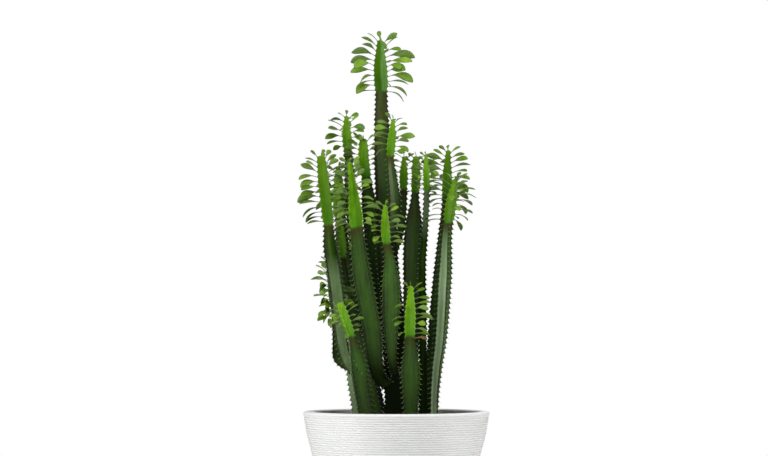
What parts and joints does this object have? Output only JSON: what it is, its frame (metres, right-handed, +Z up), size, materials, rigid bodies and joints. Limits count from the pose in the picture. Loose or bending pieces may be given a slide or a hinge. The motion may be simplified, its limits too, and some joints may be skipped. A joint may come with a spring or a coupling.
{
  "type": "potted euphorbia",
  "caption": "Tall branching three-winged euphorbia with leafy crowns, rooted in potting mix in a tapered round planter.",
  "frame": {"origin": "centre of the planter's flat base, on the surface that it stands on", "axes": "+Z up along the planter's axis, -Y towards the viewer of the picture, +X to the viewer's right"},
  "size_m": [0.4277, 0.4176, 1.1907],
  "materials": {
    "planter": "satin",
    "liner": "matte",
    "potting_mix": "matte",
    "stem": "satin",
    "leaf": "satin",
    "thorn": "matte"
  },
  "bodies": {
    "root": {"planter_shell": "planter", "planter_liner": "liner", "potting_soil": "potting_mix", "tall_centre_stem": "stem", "upper_centre_branch": "stem", "centre_back_branch": "stem", "back_left_branch": "stem", "centre_front_branch": "stem", "left_front_branch": "stem", "upper_left_stem": "stem", "left_back_stem": "stem", "small_left_back_branch": "stem", "front_left_stem": "stem", "far_left_branch": "stem", "low_left_branch": "stem", "centre_right_stem": "stem", "front_right_stem": "stem", "right_back_stem": "stem", "far_right_back_stem": "stem", "far_right_stem": "stem"}
  },
  "joints": []
}
